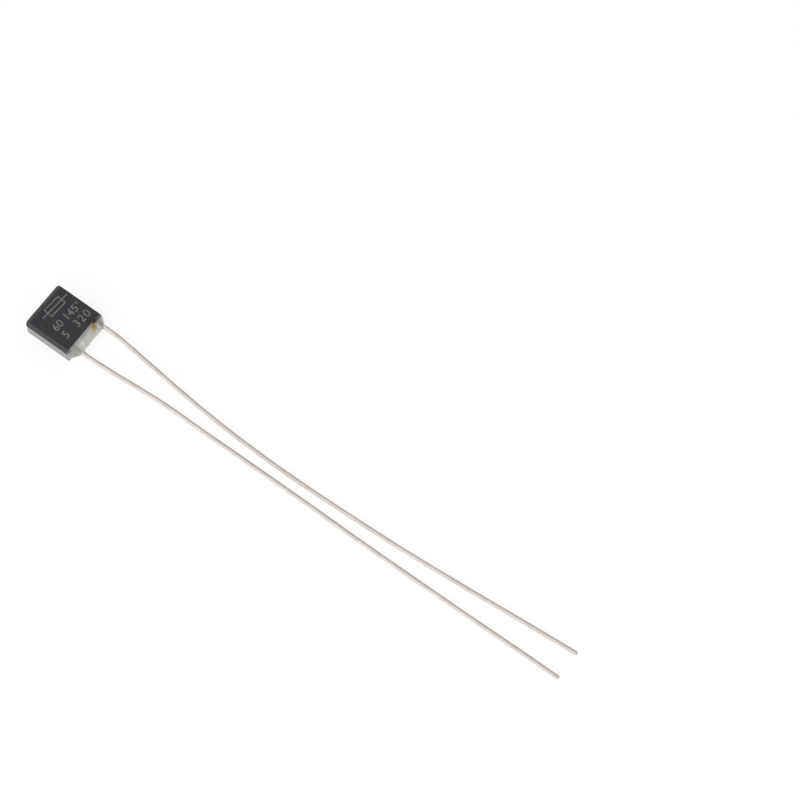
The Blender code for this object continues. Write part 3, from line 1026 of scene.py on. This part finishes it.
tin, tree, shader = new_material("tinned_copper", TIN, TIN_ROUGHNESS[0], metallic=1.0)
drawn = in_millimetres(tree, stretch=LINE_STRETCH)
place = in_millimetres(tree)
lines = noise(tree, drawn, LINE_SIZE, detail=3.0)
patches = remap(tree, noise(tree, place, DULL_PATCH_SIZE, detail=3.0), 0.0, 1.0)
tree.links.new(mix_colors(tree, patches, TIN, DULL_TIN), shader.inputs["Base Color"])
patch_gloss = remap(tree, patches, *TIN_ROUGHNESS, 0.0, 1.0)
gloss = calculate(tree, "ADD", patch_gloss, remap(tree, lines, *LINE_ROUGHNESS))
tree.links.new(gloss, shader.inputs["Roughness"])
wave_in_tin = noise(tree, place, WAVE_IN_TIN_SIZE)
raise_surface(tree, shader, [(wave_in_tin, WAVE_IN_TIN_DEPTH), (lines, LINE_DEPTH)])

for side, wire in wires.items():
    cover_with(wire, tin)
    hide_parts(f"{side}_lead")
    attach(wire, "root")

# %% [markdown]
# ## What the case hides
#
# Inside, a link of low-melting alloy joins the wires, and amber flux surrounds it. Their solids
# have the right shape already, so they only get their finishes.

# %% Finish the link and its flux
AMBER = (0.55, 0.33, 0.08)
DEEP_AMBER = (0.50, 0.28, 0.06)
PALE_AMBER = (0.66, 0.44, 0.14)
ALLOY = (0.62, 0.62, 0.64)
DARK_ALLOY = (0.55, 0.55, 0.58)
BRIGHT_ALLOY = (0.68, 0.68, 0.70)
CRYSTAL_SIZE = 0.12

amber_flux, tree, shader = new_material("amber_flux", AMBER, 0.18)
place = in_millimetres(tree)
depth = remap(tree, noise(tree, place, 0.8), 0.0, 1.0)
tree.links.new(mix_colors(tree, depth, DEEP_AMBER, PALE_AMBER), shader.inputs["Base Color"])
raise_surface(tree, shader, [(noise(tree, place, 0.4), 0.01)])

dull_alloy, tree, shader = new_material("fusible_alloy", ALLOY, 0.36, metallic=1.0)
crystals = noise(tree, in_millimetres(tree), CRYSTAL_SIZE, detail=3.0)
facets = remap(tree, crystals, 0.0, 1.0)
tree.links.new(mix_colors(tree, facets, DARK_ALLOY, BRIGHT_ALLOY), shader.inputs["Base Color"])
raise_surface(tree, shader, [(crystals, 0.006)])

for name, material in (("flux", amber_flux), ("fusible_alloy", dull_alloy)):
    cover_with(nodes[name], material)

# %% [markdown]
# ## The table and the light
#
# The photograph has a bright white table with hardly a shadow. The floor is white to the camera
# and to reflections, and a plain white surface to the rest of the light, so a faint shadow stays.
# The light is a wide soft lamp on the left and an even sky. A polished wire shows only what is
# around it, so for reflections alone the sky gets greyer towards the right and towards the
# horizon, as a room does away from its window. Grey cards hung round the fuse would do the same
# with more objects.

# %% Lay the floor
FLOOR_HALF_SIZE = 1.5
FLOOR_DROP = 0.02 * MM
FLOOR_WHITE = 0.86
WHITE_SHARE = 0.74
WHITE_STRENGTH = 1.12


def seen_directly(tree):
    """1 for camera, glossy and transmission rays, 0 for the light that falls on a surface."""
    rays = add_node(tree, "ShaderNodeLightPath")
    mirrored = calculate(
        tree, "MAXIMUM", rays.outputs["Is Glossy Ray"], rays.outputs["Is Transmission Ray"]
    )
    return calculate(tree, "MAXIMUM", rays.outputs["Is Camera Ray"], mirrored)


deselect_all()
bpy.ops.mesh.primitive_plane_add(size=2 * FLOOR_HALF_SIZE, location=(0, 0, -FLOOR_DROP))
floor = bpy.context.object
floor.name = "floor"
white, tree, shader = new_material("white_table", (FLOOR_WHITE,) * 3, 0.9)
shader.inputs["Specular IOR Level"].default_value = 0.0
glow = add_node(tree, "ShaderNodeEmission", {"Strength": WHITE_STRENGTH})
share = calculate(tree, "MULTIPLY", seen_directly(tree), WHITE_SHARE)
blend = add_node(tree, "ShaderNodeMixShader")
tree.links.new(share, blend.inputs["Fac"])
tree.links.new(shader.outputs["BSDF"], blend.inputs[1])
tree.links.new(glow.outputs["Emission"], blend.inputs[2])
tree.links.new(blend.outputs["Shader"], tree.nodes["Material Output"].inputs["Surface"])
floor.data.materials.append(white)

# %% Fill the sky
SKY_LIGHT = 0.55
LEFT_MIRRORED = 0.96
RIGHT_MIRRORED = 0.46
LOW_SHARE = 0.72
MIRRORED_SPAN = (-0.7, 0.75)
HORIZON_TOP = 0.25

world = bpy.data.worlds.new("soft_sky")
world.use_nodes = True
bpy.context.scene.world = world
tree = world.node_tree
sky = tree.nodes["Background"]
sky.inputs["Color"].default_value = (1, 1, 1, 1)
toward = add_node(tree, "ShaderNodeSeparateXYZ")
tree.links.new(add_node(tree, "ShaderNodeTexCoord").outputs["Generated"], toward.inputs["Vector"])
across = remap(tree, toward.outputs["X"], LEFT_MIRRORED, RIGHT_MIRRORED, *MIRRORED_SPAN)
upward = remap(tree, toward.outputs["Z"], LOW_SHARE, 1.0, 0.0, HORIZON_TOP)
mirrored = calculate(tree, "MULTIPLY", across, upward)
rays = add_node(tree, "ShaderNodeLightPath")


def choose_strength(tree, is_kind, strength, otherwise):
    """One strength for one kind of ray and another for the rest."""
    node = add_node(tree, "ShaderNodeMix", data_type="FLOAT")
    sockets = (node.inputs[0], node.inputs[2], node.inputs[3])
    for socket, value in zip(sockets, (is_kind, otherwise, strength)):
        if isinstance(value, (int, float)):
            socket.default_value = value
        else:
            tree.links.new(value, socket)
    return node.outputs[0]


strength = choose_strength(tree, rays.outputs["Is Glossy Ray"], mirrored, SKY_LIGHT)
strength = choose_strength(tree, rays.outputs["Is Transmission Ray"], 1.0, strength)
strength = choose_strength(tree, rays.outputs["Is Camera Ray"], 1.0, strength)
tree.links.new(strength, sky.inputs["Strength"])

# %% Hang the lamp
LAMP_SIZE = 0.72
LAMP_DISTANCE = 0.60
LAMP_POWER = 1.5
LAMP_AZIMUTH = -85
LAMP_ELEVATION = 52

toward_lamp = direction(LAMP_AZIMUTH, LAMP_ELEVATION)
lamp_data = bpy.data.lights.new("soft_lamp", "AREA")
lamp_data.size = LAMP_SIZE
lamp_data.energy = LAMP_POWER
lamp = bpy.data.objects.new("soft_lamp", lamp_data)
bpy.context.scene.collection.objects.link(lamp)
lamp.location = AIM_POINT + toward_lamp * LAMP_DISTANCE
lamp.rotation_euler = toward_lamp.to_track_quat("Z", "Y").to_euler()
lamp.visible_glossy = False
bpy.context.scene.view_settings.view_transform = "Standard"
